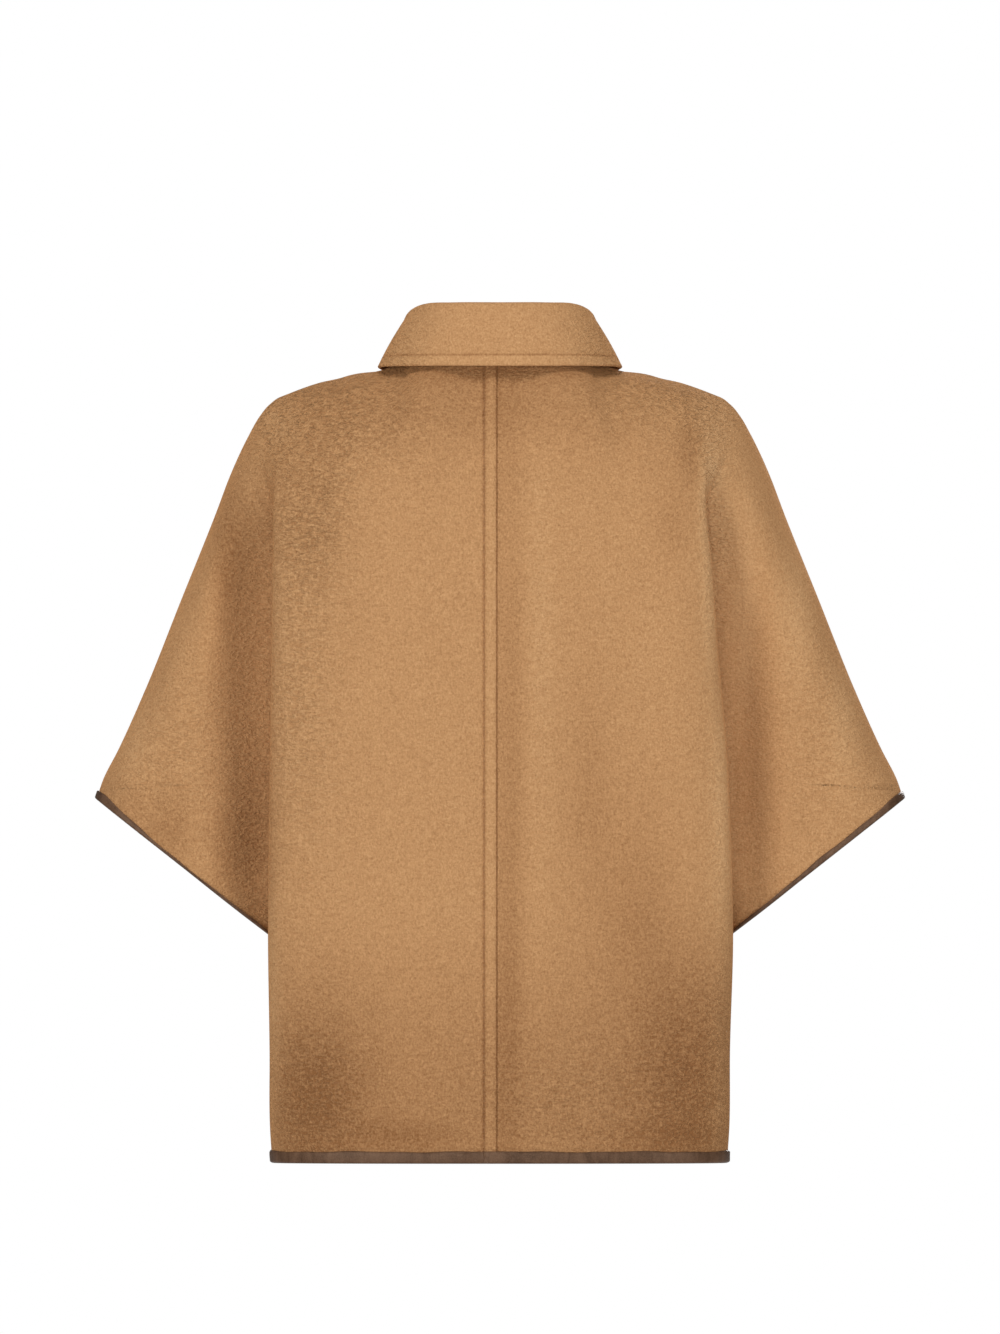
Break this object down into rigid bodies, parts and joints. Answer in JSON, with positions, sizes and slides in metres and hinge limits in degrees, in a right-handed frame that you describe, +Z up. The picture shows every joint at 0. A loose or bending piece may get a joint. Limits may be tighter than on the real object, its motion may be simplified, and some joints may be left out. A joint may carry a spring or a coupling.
{
  "type": "cashmere jacket",
  "caption": "Short hollow cashmere jacket cut like a cape, with wide sleeves cut in one with the body, a turned-down collar and leather bound hem and cuffs.",
  "frame": {"origin": "the middle of the neck at the height of the shoulders, where the wearer's shoulders hold the jacket up", "axes": "+Z up, the back faces -Y, the front +Y, and +X is the wearer's right"},
  "size_m": [0.7298, 0.2485, 0.7742],
  "materials": {
    "cashmere": "camel cashmere, double faced, with a short brushed nap",
    "leather": "dark brown smooth leather binding, softly shining"
  },
  "bodies": {
    "root": {"back_left": "cashmere", "back_right": "cashmere", "front_left": "cashmere", "front_right": "cashmere", "collar": "cashmere", "hem_binding_left": "leather", "hem_binding_right": "leather", "cuff_binding_left": "leather", "cuff_binding_right": "leather"}
  },
  "joints": []
}
